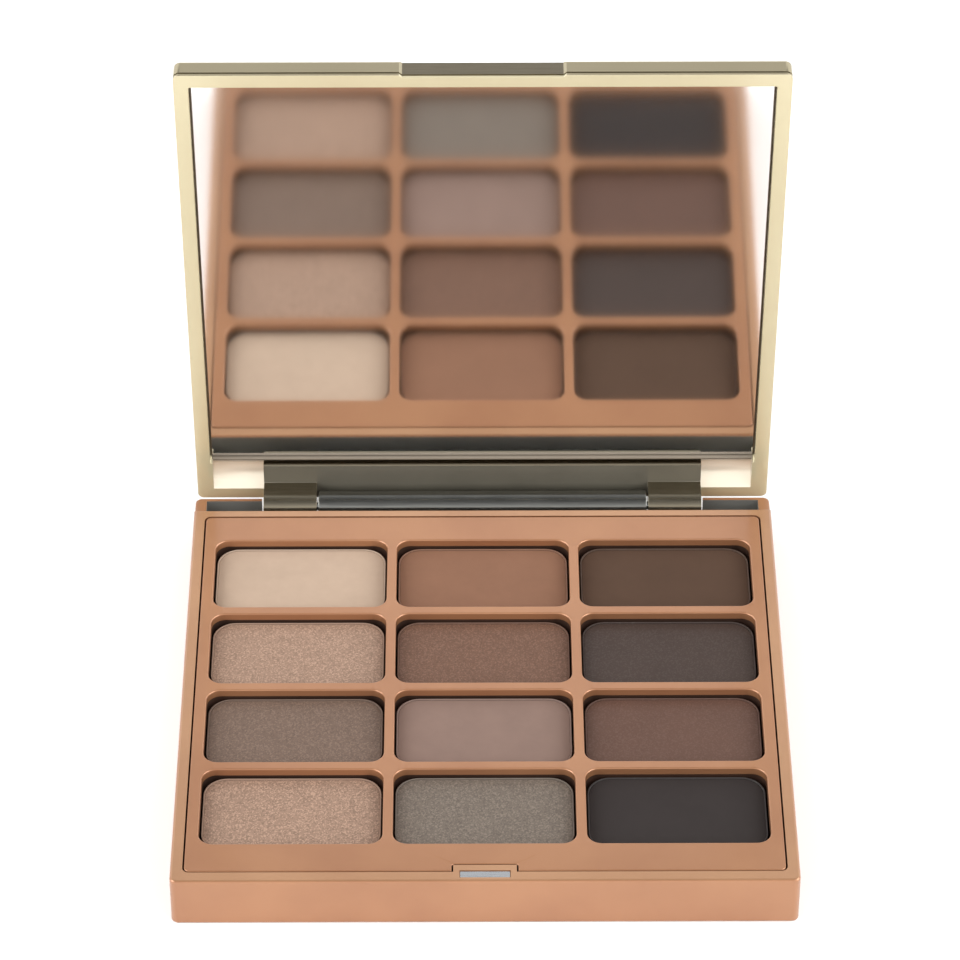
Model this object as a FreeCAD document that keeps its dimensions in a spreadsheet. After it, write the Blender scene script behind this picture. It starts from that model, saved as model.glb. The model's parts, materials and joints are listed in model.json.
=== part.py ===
import FreeCAD, Part
import os
import Sketcher

# Hinged eyeshadow palette: a shallow base with a flush tray of twelve pressed-powder pans,
# and a mirrored lid that turns on a barrel hinge along the back edge.
# Frame: +X right, +Y towards the hinge, +Z up, origin at the centre of the flat underside.
# The lid is drawn shut in a frame of its own, whose origin is on the hinge axis,
# and is then turned open about that axis.

DIMENSIONS = [
    ("palette_width", 110.0, "base, left to right"),
    ("palette_depth", 106.8, "base, front face to back face"),
    ("base_height", 10.2, "underside to rim"),
    ("corner_radius", 1.2, "upright corners of base and lid"),
    ("small_radius", 0.6, "inner corners of the lid shell"),
    ("fine_radius", 0.3, "corners of the mirror and its recess"),
    ("bar_radius", 0.3, "corners of the magnet and the strike plate"),
    ("edge_radius", 0.5, "bottom edges of the base"),
    ("floor_thickness", 1.2, "base floor"),
    ("side_rim", 2.15, "width of the rim at the sides"),
    ("front_rim", 2.35, "width of the rim at the front"),
    ("back_rim", 2.0, "width of the rim in front of the hinge channel"),
    ("rim_length", 100.9, "front face to the back edge of the rim"),
    ("ledge_width", 1.2, "ledge that carries the tray"),
    ("rear_step", 2.05, "drop from the rim to the walls around the hinge channel"),
    ("back_wall", 0.9, "thickness of the wall behind the hinge channel"),
    ("channel_depth", 7.1, "rim to the floor of the hinge channel"),
    ("magnet_length", 8.9, "magnet, left to right"),
    ("magnet_width", 1.75, "magnet, front to back"),
    ("magnet_thickness", 2.4, "magnet, top to bottom"),
    ("magnet_setback", 0.95, "front face to the magnet"),
    ("magnet_sink", 0.15, "rim down to the top of the magnet"),
    ("boss_length", 11.1, "rim boss around the magnet, left to right"),
    ("boss_reach", 4.05, "front face to the back of the magnet boss"),
    ("tray_height", 6.0, "pan tray, top to bottom"),
    ("seam_gap", 0.12, "open seam between tray and rim"),
    ("tray_skin", 1.2, "top of the tray over its hollow borders"),
    ("well_length", 32.35, "opening of a well, left to right"),
    ("well_width", 19.05, "opening of a well, front to back"),
    ("well_radius", 2.6, "corners of a well"),
    ("well_depth", 5.2, "tray top to the well floor"),
    ("column_pitch", 34.2, "between well centres, left to right"),
    ("row_pitch", 21.08, "between well centres, front to back"),
    ("first_row", 19.07, "front face to the centre of the front row"),
    ("pan_length", 31.75, "pan, left to right"),
    ("pan_width", 18.45, "pan, front to back"),
    ("pan_radius", 4.2, "outer corners of a pan"),
    ("pan_wall", 0.3, "sheet thickness of a pan"),
    ("pan_height", 3.1, "pan, top to bottom"),
    ("pad_thickness", 0.15, "adhesive pad under a pan"),
    ("pad_inset", 3.0, "pan edge in to the adhesive pad"),
    ("powder_sink", 0.15, "pan edge down to the powder"),
    ("axis_setback", 105.8, "front face to the hinge axis"),
    ("axis_drop", 3.24, "rim down to the hinge axis"),
    ("barrel_radius", 3.1, "hinge barrel and lid knuckles"),
    ("barrel_half", 31.45, "half the length of the centre barrel"),
    ("knuckle_start", 31.75, "middle to the inner end of a lid knuckle"),
    ("knuckle_end", 41.9, "middle to the outer end of a lid knuckle"),
    ("barrel_relief", 3.45, "radius cut clear around the barrel"),
    ("relief_half", 42.3, "half the length of that cut"),
    ("saddle_half", 29.0, "half the length of the saddle under the barrel"),
    ("saddle_front", 103.2, "front face to the saddle"),
    ("saddle_drop", 1.0, "hinge axis down to the top of the saddle"),
    ("pin_radius", 0.75, "hinge pin"),
    ("pin_bore", 0.8, "bore of a lid knuckle"),
    ("pin_inner", 23.5, "middle to the inner end of a pin"),
    ("pin_outer", 41.6, "middle to the outer end of a pin"),
    ("lid_opening", 83.8, "degrees that the lid stands open"),
    ("lid_half", 54.7, "half the width of the lid"),
    ("lid_gap", 0.1, "rim to the shut lid"),
    ("lid_thickness", 4.0, "lid, inner face to outer face"),
    ("lid_skin", 0.95, "outer plate of the lid shell"),
    ("lid_wall", 1.2, "side walls of the lid shell"),
    ("lid_edge_radius", 0.65, "outer edges of the lid shell"),
    ("flange", 0.5, "edge of the lid frame that shows beside the shell"),
    ("lid_seam", 0.35, "seam between shell and frame"),
    ("frame_fit", 0.05, "lid frame inside the shell walls"),
    ("window_half", 52.05, "half the width of the mirror recess"),
    ("window_front", 2.85, "lid front to the mirror recess"),
    ("window_back", 97.45, "lid front to the back of the mirror recess"),
    ("mirror_recess", 2.0, "inner face down to the mirror"),
    ("mirror_thickness", 0.9, "mirror glass"),
    ("mirror_gap", 0.1, "mirror edge to the recess walls"),
    ("glue_inset", 4.0, "mirror edge to its adhesive sheet"),
    ("border_depth", 1.15, "inner face down to the strip behind the mirror recess"),
    ("land", 0.3, "strip between the mirror recess and the hollows behind it"),
    ("pad_front", 98.25, "lid front to the hinge pad"),
    ("pad_half", 41.9, "half the width of the hinge pad"),
    ("groove_depth", 1.8, "groove between mirror and hinge pad"),
    ("hollow_end", 51.6, "middle to the outer end of a corner hollow"),
    ("hollow_depth", 2.7, "deepest part of a corner hollow"),
    ("ramp_start", 99.8, "lid front to the start of the first slope"),
    ("ramp_bend", 102.75, "lid front to the start of the second slope"),
    ("bend_depth", 1.15, "depth of a hollow where its slopes meet"),
    ("ramp_end", 104.3, "lid front to the end of a corner hollow"),
    ("notch_half", 14.8, "half the width of the thumb notch"),
    ("notch_depth", 0.55, "thumb notch, front to back"),
    ("strike_length", 10.0, "steel strike plate, left to right"),
    ("strike_width", 1.3, "steel strike plate, front to back"),
    ("strike_thickness", 0.8, "steel strike plate, top to bottom"),
    ("strike_setback", 1.4, "lid front to the strike plate"),
]

COLUMNS = ("left", "centre", "right")
ROWS = ("front", "lower_middle", "upper_middle", "back")
LEAST_CUT = 0.01
TOLERANCE = 0.001
QUARTER_TURN = 90.0
VECTOR = FreeCAD.Vector

doc = FreeCAD.newDocument("EyeshadowPalette")
sheet = doc.addObject("Spreadsheet::Sheet", "Dims")
for line, (alias, size, meaning) in enumerate(DIMENSIONS, start=1):
    sheet.set(f"A{line}", alias)
    sheet.set(f"B{line}", str(size))
    sheet.setAlias(f"B{line}", alias)
    sheet.set(f"C{line}", meaning)
doc.recompute()


def in_sheet(text):
    """Puts the sheet's name in front of every alias in an expression."""
    words = []
    word = ""
    for character in text + " ":
        if character.isalpha() or character == "_":
            word += character
            continue
        if word:
            words.append("Dims." + word)
            word = ""
        words.append(character)
    return "".join(words).strip()


def number(text):
    """The value of an expression in millimetres or degrees."""
    return float(sheet.evalExpression(in_sheet(text)))


# Expressions for places that several pieces share.

FRONT = "(-palette_depth / 2)"
BACK = "(palette_depth / 2)"
AXIS_Y = "(-palette_depth / 2 + axis_setback)"
AXIS_Z = "(base_height - axis_drop)"
LID_FACE = "(axis_drop + lid_gap)"
LID_FRONT = "(-axis_setback)"
LID_BACK = "(palette_depth - axis_setback)"
TRAY_BOTTOM = "(base_height - tray_height)"
PAN_BOTTOM = "(base_height - well_depth + pad_thickness)"


# Drawing and feature helpers.

def new_body(label):
    """A PartDesign body whose label names its file."""
    body = doc.addObject("PartDesign::Body", label)
    body.Label = label
    return body


def new_sketch(body, name, role, height):
    """A sketch on one of the body's own origin planes, lifted by an expression."""
    sketch = body.newObject("Sketcher::SketchObject", name)
    plane = [feature for feature in body.Origin.OriginFeatures if feature.Role == role][0]
    sketch.AttachmentSupport = [(plane, "")]
    sketch.MapMode = "FlatFace"
    sketch.setExpression("AttachmentOffset.Base.z", in_sheet(height))
    return sketch


def name_sizes(sketch, sizes):
    """Adds driving constraints, each named and bound to an expression."""
    for name, constraint, text in sizes:
        index = sketch.addConstraint(constraint)
        sketch.renameConstraint(index, name)
        sketch.setExpression("Constraints." + name, in_sheet(text))


def rounded_rectangle(sketch, tag, left, right, low, high, radius):
    """A rectangle with round corners; its four sides are bound to expressions."""
    x0, x1, y0, y1, r = (number(text) for text in (left, right, low, high, radius))
    corners = [(x1 - r, y0 + r), (x1 - r, y1 - r), (x0 + r, y1 - r), (x0 + r, y0 + r)]
    starts = [(x0 + r, y0), (x1, y0 + r), (x1 - r, y1), (x0, y1 - r)]
    ends = [(x1 - r, y0), (x1, y1 - r), (x0 + r, y1), (x0, y0 + r)]
    lines = []
    arcs = []
    for turn in range(4):
        line = Part.LineSegment(VECTOR(*starts[turn], 0), VECTOR(*ends[turn], 0))
        circle = Part.Circle(VECTOR(*corners[turn], 0), VECTOR(0, 0, 1), r)
        first = Part.Circle.parameter(circle, VECTOR(*ends[turn], 0))
        last = Part.Circle.parameter(circle, VECTOR(*starts[(turn + 1) % 4], 0))
        lines.append(sketch.addGeometry(line, False))
        arcs.append(sketch.addGeometry(Part.ArcOfCircle(circle, first, last), False))
    joints = []
    for turn in range(4):
        joints.append(Sketcher.Constraint("Tangent", lines[turn], 2, arcs[turn], 1))
        joints.append(Sketcher.Constraint("Tangent", arcs[turn], 2, lines[(turn + 1) % 4], 1))
        joints.append(Sketcher.Constraint(("Horizontal", "Vertical")[turn % 2], lines[turn]))
    for arc in arcs[1:]:
        joints.append(Sketcher.Constraint("Equal", arcs[0], arc))
    sketch.addConstraint(joints)
    name_sizes(sketch, [
        (tag + "_low", Sketcher.Constraint("DistanceY", -1, 1, lines[0], 1, y0), low),
        (tag + "_right", Sketcher.Constraint("DistanceX", -1, 1, lines[1], 1, x1), right),
        (tag + "_high", Sketcher.Constraint("DistanceY", -1, 1, lines[2], 1, y1), high),
        (tag + "_left", Sketcher.Constraint("DistanceX", -1, 1, lines[3], 1, x0), left),
        (tag + "_radius", Sketcher.Constraint("Radius", arcs[0], r), radius),
    ])


def polygon(sketch, tag, points):
    """A closed outline of straight sides; each corner is bound to two expressions."""
    places = [VECTOR(number(x), number(y), 0) for x, y in points]
    count = len(points)
    lines = []
    for index in range(count):
        segment = Part.LineSegment(places[index], places[(index + 1) % count])
        lines.append(sketch.addGeometry(segment, False))
    joints = []
    for index in range(count):
        joints.append(Sketcher.Constraint("Coincident", lines[index], 2, lines[(index + 1) % count], 1))
    sketch.addConstraint(joints)
    sizes = []
    for index, (x, y) in enumerate(points):
        name = f"{tag}{index}"
        across = Sketcher.Constraint("DistanceX", -1, 1, lines[index], 1, places[index].x)
        along = Sketcher.Constraint("DistanceY", -1, 1, lines[index], 1, places[index].y)
        sizes.append((name + "_across", across, x))
        sizes.append((name + "_along", along, y))
    name_sizes(sketch, sizes)


def rectangle(sketch, tag, left, right, low, high):
    """A plain rectangle between four expressions."""
    polygon(sketch, tag, [(left, low), (right, low), (right, high), (left, high)])


def circle(sketch, tag, x, y, radius):
    """A circle whose centre and radius are bound to expressions."""
    centre = VECTOR(number(x), number(y), 0)
    ring = sketch.addGeometry(Part.Circle(centre, VECTOR(0, 0, 1), number(radius)), False)
    name_sizes(sketch, [
        (tag + "_across", Sketcher.Constraint("DistanceX", -1, 1, ring, 3, centre.x), x),
        (tag + "_along", Sketcher.Constraint("DistanceY", -1, 1, ring, 3, centre.y), y),
        (tag + "_radius", Sketcher.Constraint("Radius", ring, number(radius)), radius),
    ])


def add_pad(body, name, sketch, length):
    """Adds material from a sketch along its normal."""
    pad = body.newObject("PartDesign::Pad", name)
    pad.Profile = sketch
    pad.setExpression("Length", in_sheet(length))
    body.Tip = pad
    return pad


def add_pocket(body, name, sketch, length, reverse=False):
    """Cuts from a sketch against its normal, or along it when reversed, and checks the cut."""
    doc.recompute()
    volume_before = body.Shape.Volume
    pocket = body.newObject("PartDesign::Pocket", name)
    pocket.Profile = sketch
    pocket.Reversed = reverse
    pocket.setExpression("Length", in_sheet(length))
    body.Tip = pocket
    doc.recompute()
    if body.Shape.Volume > volume_before - LEAST_CUT:
        raise RuntimeError(body.Label + ": " + name + " cuts nothing")
    return pocket


def add_fillet(body, name, radius, wanted):
    """Rounds the edges of the body's tip that the test picks."""
    doc.recompute()
    tip = body.Tip
    edges = [f"Edge{index}" for index, edge in enumerate(tip.Shape.Edges, start=1) if wanted(edge)]
    fillet = body.newObject("PartDesign::Fillet", name)
    fillet.Base = (tip, edges)
    fillet.setExpression("Radius", in_sheet(radius))
    body.Tip = fillet
    doc.recompute()
    return fillet


def slab(label, left, right, front, back, bottom, thickness, radius):
    """A flat piece with round corners, such as a mirror, a magnet or a pad."""
    body = new_body(label)
    outline = new_sketch(body, label + "_outline", "XY_Plane", bottom)
    rounded_rectangle(outline, "side", left, right, front, back, radius)
    add_pad(body, label + "_pad", outline, thickness)
    return body


def rod(name, inner, outer, radius):
    """A cylinder along the hinge axis, between two distances from the middle."""
    cylinder = doc.addObject("Part::Cylinder", name)
    cylinder.setExpression("Radius", in_sheet(radius))
    cylinder.setExpression("Height", in_sheet(f"{outer} - ({inner})"))
    cylinder.Placement.Rotation = FreeCAD.Rotation(VECTOR(0, 1, 0), QUARTER_TURN)
    cylinder.setExpression("Placement.Base.x", in_sheet(inner))
    cylinder.setExpression("Placement.Base.y", in_sheet(AXIS_Y))
    cylinder.setExpression("Placement.Base.z", in_sheet(AXIS_Z))
    return cylinder


# The base.

def base_shell():
    """One moulding: floor, walls, rim, magnet boss, hinge channel and the saddle of the barrel."""
    body = new_body("base_shell")
    outline = new_sketch(body, "base_outline", "XY_Plane", "0")
    half_width = "palette_width / 2"
    rounded_rectangle(outline, "side", "-" + half_width, half_width, FRONT, BACK, "corner_radius")
    add_pad(body, "base_block", outline, "base_height")
    add_fillet(body, "base_bottom_edges", "edge_radius", lies_on_floor)

    inner_half = "(palette_width / 2 - side_rim)"
    rim_back = f"({FRONT} + rim_length - back_rim)"
    well = new_sketch(body, "tray_seat_outline", "XY_Plane", "base_height")
    rounded_rectangle(
        well, "side", "-" + inner_half, inner_half, FRONT + " + front_rim", rim_back, "corner_radius")
    add_pocket(body, "tray_seat", well, "tray_height")

    cellar = new_sketch(body, "cellar_outline", "XY_Plane", TRAY_BOTTOM)
    rounded_rectangle(
        cellar, "side", f"-({inner_half} - ledge_width)", f"{inner_half} - ledge_width",
        FRONT + " + front_rim + ledge_width", rim_back + " - ledge_width", "corner_radius")
    add_pocket(body, "cellar", cellar, TRAY_BOTTOM + " - floor_thickness")

    boss = new_sketch(body, "magnet_boss_outline", "XY_Plane", TRAY_BOTTOM)
    rectangle(boss, "side", "-boss_length / 2", "boss_length / 2",
              FRONT + " + front_rim / 2", FRONT + " + boss_reach")
    add_pad(body, "magnet_boss", boss, "tray_height")
    slot = new_sketch(body, "magnet_slot_outline", "XY_Plane", "base_height")
    rectangle(slot, "side", "-magnet_length / 2", "magnet_length / 2", FRONT + " + magnet_setback",
              FRONT + " + magnet_setback + magnet_width")
    add_pocket(body, "magnet_slot", slot, "magnet_sink + magnet_thickness")

    step = new_sketch(body, "rear_step_outline", "XY_Plane", "base_height")
    rectangle(step, "side", "-palette_width", "palette_width", FRONT + " + rim_length", "palette_depth")
    add_pocket(body, "rear_step_cut", step, "rear_step")
    channel = new_sketch(body, "channel_outline", "XY_Plane", "base_height")
    rectangle(channel, "side", "-" + inner_half, inner_half,
              FRONT + " + rim_length", BACK + " - back_wall")
    add_pocket(body, "hinge_channel", channel, "channel_depth")
    relief = new_sketch(body, "barrel_relief_outline", "YZ_Plane", "-relief_half")
    circle(relief, "ring", AXIS_Y, AXIS_Z, "barrel_relief")
    add_pocket(body, "barrel_relief_cut", relief, "relief_half * 2", reverse=True)
    saddle = new_sketch(body, "saddle_outline", "YZ_Plane", "-saddle_half")
    rectangle(saddle, "side", FRONT + " + saddle_front", BACK,
              "base_height - channel_depth - floor_thickness / 2", AXIS_Z + " - saddle_drop")
    add_pad(body, "saddle", saddle, "saddle_half * 2")
    seat = new_sketch(body, "barrel_seat_outline", "YZ_Plane", "-saddle_half")
    circle(seat, "ring", AXIS_Y, AXIS_Z, "barrel_radius")
    add_pocket(body, "barrel_seat", seat, "saddle_half * 2", reverse=True)
    return body


def lies_on_floor(edge):
    """True for an edge in the plane of the underside."""
    return abs(edge.BoundBox.ZMax) < TOLERANCE


def pan_tray():
    """The flush tray: twelve wells, hollow borders front and back, and a notch for the magnet boss."""
    body = new_body("pan_tray")
    half = "(palette_width / 2 - side_rim - seam_gap)"
    back = f"({FRONT} + rim_length - back_rim - seam_gap)"
    outline = new_sketch(body, "tray_outline", "XY_Plane", TRAY_BOTTOM)
    rounded_rectangle(
        outline, "side", "-" + half, half, FRONT + " + front_rim + seam_gap", back, "corner_radius")
    add_pad(body, "tray_block", outline, "tray_height")

    notch = new_sketch(body, "tray_notch_outline", "XY_Plane", "base_height")
    notch_half = "boss_length / 2 + seam_gap"
    rectangle(notch, "side", f"-({notch_half})", notch_half, FRONT, FRONT + " + boss_reach + seam_gap")
    add_pocket(body, "tray_notch", notch, "tray_height")

    wells = new_sketch(body, "well_outlines", "XY_Plane", "base_height")
    for name, x, y in well_centres():
        rounded_rectangle(
            wells, name, f"{x} - well_length / 2", f"{x} + well_length / 2",
            f"{y} - well_width / 2", f"{y} + well_width / 2", "well_radius")
    add_pocket(body, "wells", wells, "well_depth")

    hollows = new_sketch(body, "border_hollow_outlines", "XY_Plane", TRAY_BOTTOM)
    hollow_half = "palette_width / 2 - side_rim - tray_skin * 2"
    front_edge = FRONT + " + boss_reach + tray_skin"
    front_end = FRONT + " + first_row - well_width / 2 - tray_skin"
    rectangle(hollows, "front", f"-({hollow_half})", hollow_half, front_edge, front_end)
    last_row = f"first_row + row_pitch * {len(ROWS) - 1}"
    back_edge = f"{FRONT} + {last_row} + well_width / 2 + tray_skin"
    rectangle(hollows, "back", f"-({hollow_half})", hollow_half, back_edge, back + " - tray_skin")
    add_pocket(body, "border_hollows", hollows, "tray_height - tray_skin", reverse=True)
    return body


def well_centres():
    """The name of each well with expressions for its centre, front row first."""
    centres = []
    for row, row_name in enumerate(ROWS):
        for column, column_name in enumerate(COLUMNS):
            x = f"(column_pitch * ({column - 1}))"
            y = f"({FRONT} + first_row + row_pitch * {row})"
            centres.append((f"{row_name}_{column_name}", x, y))
    return centres


def pan(name, x, y):
    """A drawn sheet-metal pan, open at the top."""
    body = new_body("pan_" + name)
    outside = new_sketch(body, name + "_outside", "XY_Plane", PAN_BOTTOM)
    rounded_rectangle(
        outside, "side", f"{x} - pan_length / 2", f"{x} + pan_length / 2",
        f"{y} - pan_width / 2", f"{y} + pan_width / 2", "pan_radius")
    add_pad(body, name + "_block", outside, "pan_height")
    inside = new_sketch(body, name + "_inside", "XY_Plane", PAN_BOTTOM + " + pan_height")
    rounded_rectangle(
        inside, "side", f"{x} - pan_length / 2 + pan_wall", f"{x} + pan_length / 2 - pan_wall",
        f"{y} - pan_width / 2 + pan_wall", f"{y} + pan_width / 2 - pan_wall", "pan_radius - pan_wall")
    add_pocket(body, name + "_bowl", inside, "pan_height - pan_wall")
    return body


def powder(name, x, y):
    """The pressed cake of powder that fills a pan."""
    return slab(
        "powder_" + name, f"{x} - pan_length / 2 + pan_wall", f"{x} + pan_length / 2 - pan_wall",
        f"{y} - pan_width / 2 + pan_wall", f"{y} + pan_width / 2 - pan_wall",
        PAN_BOTTOM + " + pan_wall", "pan_height - pan_wall - powder_sink", "pan_radius - pan_wall")


def pan_adhesive_pads():
    """Twelve thin adhesive pads, one between each pan and its well floor."""
    pads = []
    for name, x, y in well_centres():
        pad = doc.addObject("Part::Box", "pad_" + name)
        pad.setExpression("Length", in_sheet("pan_length - pad_inset * 2"))
        pad.setExpression("Width", in_sheet("pan_width - pad_inset * 2"))
        pad.setExpression("Height", in_sheet("pad_thickness"))
        pad.setExpression("Placement.Base.x", in_sheet(f"{x} - pan_length / 2 + pad_inset"))
        pad.setExpression("Placement.Base.y", in_sheet(f"{y} - pan_width / 2 + pad_inset"))
        pad.setExpression("Placement.Base.z", in_sheet("base_height - well_depth"))
        pads.append(pad)
    group = doc.addObject("Part::Compound", "pan_adhesive_pads")
    group.Label = "pan_adhesive_pads"
    group.Links = pads
    return group


def base_magnet():
    """The bar magnet that holds the lid shut, let into the front rim."""
    return slab(
        "base_magnet", "-magnet_length / 2", "magnet_length / 2",
        FRONT + " + magnet_setback", FRONT + " + magnet_setback + magnet_width",
        "base_height - magnet_sink - magnet_thickness", "magnet_thickness", "bar_radius")


# The hinge.

def hinge_barrel():
    """The fixed middle tube of the hinge, which grips both pins."""
    tube = doc.addObject("Part::Cut", "hinge_barrel")
    tube.Label = "hinge_barrel"
    tube.Base = rod("barrel_outside", "-barrel_half", "barrel_half", "barrel_radius")
    tube.Tool = rod("barrel_bore", "-barrel_half", "barrel_half", "pin_radius")
    return tube


def hinge_pins():
    """One pin at each end, fast in the barrel and free in the lid's knuckle."""
    left = rod("hinge_pin_left", "-pin_outer", "-pin_inner", "pin_radius")
    right = rod("hinge_pin_right", "pin_inner", "pin_outer", "pin_radius")
    return [left, right]


# The lid, drawn shut with the hinge axis as its X axis.

def thumb_notch(body, name, bottom, height):
    """The shallow finger notch in the middle of the front edge."""
    sketch = new_sketch(body, name + "_outline", "XY_Plane", f"{bottom} + {height}")
    polygon(sketch, "side", [
        ("-notch_half - notch_depth", LID_FRONT + " - notch_depth"),
        ("notch_half + notch_depth", LID_FRONT + " - notch_depth"),
        ("notch_half - notch_depth", LID_FRONT + " + notch_depth"),
        ("-notch_half + notch_depth", LID_FRONT + " + notch_depth"),
    ])
    add_pocket(body, name, sketch, height)


def lid_frame():
    """The inner frame: rim, mirror recess, corner hollows, hinge pad and the two knuckles."""
    body = new_body("lid_frame")
    rim = new_sketch(body, "frame_rim_outline", "XY_Plane", LID_FACE)
    rounded_rectangle(rim, "side", "-lid_half", "lid_half", LID_FRONT, LID_BACK, "corner_radius")
    add_pad(body, "frame_rim", rim, "flange")
    core = new_sketch(body, "frame_core_outline", "XY_Plane", LID_FACE + " + flange")
    inset = "(lid_wall + frame_fit)"
    rounded_rectangle(
        core, "side", f"-(lid_half - {inset})", f"lid_half - {inset}",
        f"{LID_FRONT} + {inset}", f"{LID_BACK} - {inset}", "small_radius")
    add_pad(body, "frame_core", core, "lid_thickness - lid_skin - flange")
    thumb_notch(body, "frame_notch", LID_FACE, "flange")

    for side, name in ((-1, "left"), (1, "right")):
        knuckle = new_sketch(body, name + "_knuckle_outline", "YZ_Plane", knuckle_plane(side))
        knuckle_profile(knuckle)
        add_pad(body, name + "_knuckle", knuckle, "knuckle_end - knuckle_start")
        bore = new_sketch(body, name + "_bore_outline", "YZ_Plane", knuckle_plane(side))
        circle(bore, "ring", "0", "0", "pin_bore")
        add_pocket(body, name + "_bore", bore, "knuckle_end - knuckle_start", reverse=True)

    window = new_sketch(body, "window_outline", "XY_Plane", LID_FACE)
    rounded_rectangle(
        window, "side", "-window_half", "window_half",
        LID_FRONT + " + window_front", LID_FRONT + " + window_back", "fine_radius")
    add_pocket(body, "mirror_window", window, "lid_thickness", reverse=True)
    border = new_sketch(body, "border_outline", "XY_Plane", LID_FACE)
    rectangle(border, "side", "-hollow_end", "hollow_end",
              LID_FRONT + " + window_back - fine_radius", LID_FRONT + " + window_back + land")
    add_pocket(body, "border_step", border, "border_depth", reverse=True)
    groove = new_sketch(body, "groove_outline", "XY_Plane", LID_FACE)
    rectangle(groove, "side", "-pad_half - land", "pad_half + land",
              LID_FRONT + " + window_back + land", LID_FRONT + " + pad_front")
    add_pocket(body, "pad_groove", groove, "groove_depth", reverse=True)
    for side, name in ((-1, "left"), (1, "right")):
        start = "-hollow_end" if side < 0 else "pad_half"
        hollow = new_sketch(body, name + "_hollow_outline", "YZ_Plane", start)
        hollow_profile(hollow)
        add_pocket(body, name + "_hollow", hollow, "hollow_end - pad_half", reverse=True)

    slot = new_sketch(body, "strike_slot_outline", "XY_Plane", LID_FACE + " + flange + strike_thickness")
    rectangle(slot, "side", "-strike_length / 2", "strike_length / 2",
              LID_FRONT + " + strike_setback", LID_FRONT + " + strike_setback + strike_width")
    add_pocket(body, "strike_slot", slot, "strike_thickness")
    return body


def knuckle_plane(side):
    """The lower X of a knuckle on the given side of the middle."""
    return "-knuckle_end" if side < 0 else "knuckle_start"


def knuckle_profile(sketch):
    """A round barrel end with a web up to the lid; across is Y and along is Z."""
    radius = number("barrel_radius")
    back = number(LID_BACK)
    top = number(LID_FACE + " + flange")
    drop = (radius ** 2 - back ** 2) ** 0.5
    corners = [VECTOR(back, drop, 0), VECTOR(back, top, 0), VECTOR(-radius, top, 0), VECTOR(-radius, 0, 0)]
    lines = []
    for index in range(3):
        segment = Part.LineSegment(corners[index], corners[index + 1])
        lines.append(sketch.addGeometry(segment, False))
    ring = Part.Circle(VECTOR(0, 0, 0), VECTOR(0, 0, 1), radius)
    first = Part.Circle.parameter(ring, corners[3])
    last = Part.Circle.parameter(ring, corners[0])
    arc = sketch.addGeometry(Part.ArcOfCircle(ring, first, last), False)
    sketch.addConstraint([
        Sketcher.Constraint("Coincident", lines[0], 2, lines[1], 1),
        Sketcher.Constraint("Coincident", lines[1], 2, lines[2], 1),
        Sketcher.Constraint("Tangent", lines[2], 2, arc, 1),
        Sketcher.Constraint("Coincident", arc, 2, lines[0], 1),
        Sketcher.Constraint("Coincident", arc, 3, -1, 1),
        Sketcher.Constraint("Vertical", lines[0]),
        Sketcher.Constraint("Horizontal", lines[1]),
        Sketcher.Constraint("Vertical", lines[2]),
    ])
    name_sizes(sketch, [
        ("barrel", Sketcher.Constraint("Radius", arc, radius), "barrel_radius"),
        ("back", Sketcher.Constraint("DistanceX", -1, 1, lines[0], 1, back), LID_BACK),
        ("top", Sketcher.Constraint("DistanceY", -1, 1, lines[1], 1, top), LID_FACE + " + flange"),
    ])


def hollow_profile(sketch):
    """Section of a corner hollow: deep beside the mirror, then two slopes out to the rear rim."""
    face = LID_FACE
    polygon(sketch, "point", [
        (LID_FRONT + " + window_back + land", face),
        (LID_FRONT + " + ramp_end", face),
        (LID_FRONT + " + ramp_bend", face + " + bend_depth"),
        (LID_FRONT + " + ramp_start", face + " + hollow_depth"),
        (LID_FRONT + " + window_back + land", face + " + hollow_depth"),
    ])


def lid_shell():
    """The outer cover of the lid, a shallow box with soft outer edges."""
    body = new_body("lid_shell")
    bottom = LID_FACE + " + flange + lid_seam"
    outline = new_sketch(body, "shell_outline", "XY_Plane", bottom)
    rounded_rectangle(outline, "side", "-lid_half", "lid_half", LID_FRONT, LID_BACK, "corner_radius")
    height = "(lid_thickness - flange - lid_seam)"
    add_pad(body, "shell_block", outline, height)
    add_fillet(body, "shell_outer_edges", "lid_edge_radius", lies_on_lid_top)
    inside = new_sketch(body, "shell_inside_outline", "XY_Plane", bottom)
    rounded_rectangle(
        inside, "side", "-(lid_half - lid_wall)", "lid_half - lid_wall",
        LID_FRONT + " + lid_wall", LID_BACK + " - lid_wall", "small_radius")
    add_pocket(body, "shell_inside", inside, height + " - lid_skin", reverse=True)
    thumb_notch(body, "shell_notch", bottom, height)
    return body


def lies_on_lid_top(edge):
    """True for an edge in the plane of the lid's outer face."""
    return edge.BoundBox.ZMin > number(LID_FACE + " + lid_thickness") - TOLERANCE


def mirror():
    """The silvered glass plate."""
    return slab(
        "mirror", "-(window_half - mirror_gap)", "window_half - mirror_gap",
        LID_FRONT + " + window_front + mirror_gap", LID_FRONT + " + window_back - mirror_gap",
        LID_FACE + " + mirror_recess", "mirror_thickness", "fine_radius")


def mirror_adhesive():
    """The adhesive sheet between the mirror and the lid shell."""
    return slab(
        "mirror_adhesive", "-(window_half - glue_inset)", "window_half - glue_inset",
        LID_FRONT + " + window_front + glue_inset", LID_FRONT + " + window_back - glue_inset",
        LID_FACE + " + mirror_recess + mirror_thickness",
        "lid_thickness - lid_skin - mirror_recess - mirror_thickness", "corner_radius")


def lid_strike_plate():
    """The steel strip behind the lid's front rim, which the magnet pulls on."""
    return slab(
        "lid_strike_plate", "-strike_length / 2", "strike_length / 2",
        LID_FRONT + " + strike_setback", LID_FRONT + " + strike_setback + strike_width",
        LID_FACE + " + flange", "strike_thickness", "bar_radius")


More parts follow.
